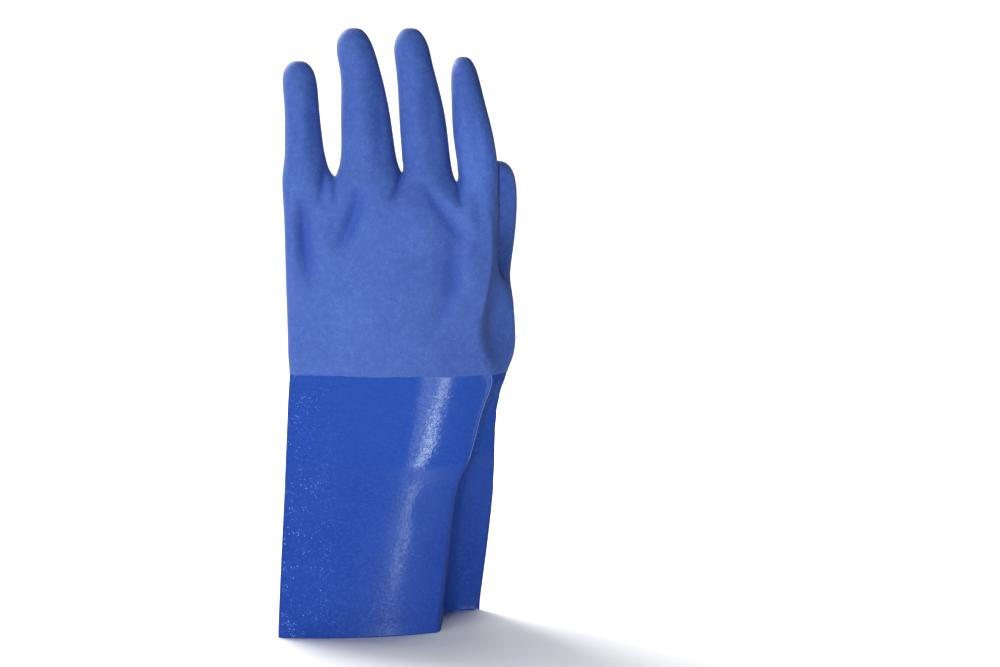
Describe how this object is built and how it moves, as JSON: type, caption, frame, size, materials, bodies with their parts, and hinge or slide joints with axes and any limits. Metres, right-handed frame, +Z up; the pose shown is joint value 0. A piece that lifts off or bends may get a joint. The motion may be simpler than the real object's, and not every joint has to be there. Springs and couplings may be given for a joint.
{
  "type": "pvc coated work glove",
  "caption": "Left-hand PVC work glove with a long open gauntlet cuff, standing on its hem: a glossy hollow shell with a rough second coat over the hand, fingers and thumb.",
  "frame": {"origin": "centre of the bounding box's bottom, on the plane of the hem", "axes": "+Z up from the hem to the fingertips; +X to the thumb's side; +Y from the back of the hand to the palm"},
  "size_m": [0.1384, 0.0816, 0.3511],
  "materials": {
    "gloss_blue_pvc": "smooth, glossy dipped PVC in deep blue, lightly pitted; pale knitted cotton backing inside",
    "rough_blue_pvc": "fine sandy, matte second dip of PVC in a paler blue"
  },
  "bodies": {
    "root": {"glove_shell": "gloss_blue_pvc", "grip_coat": "rough_blue_pvc"}
  },
  "joints": []
}
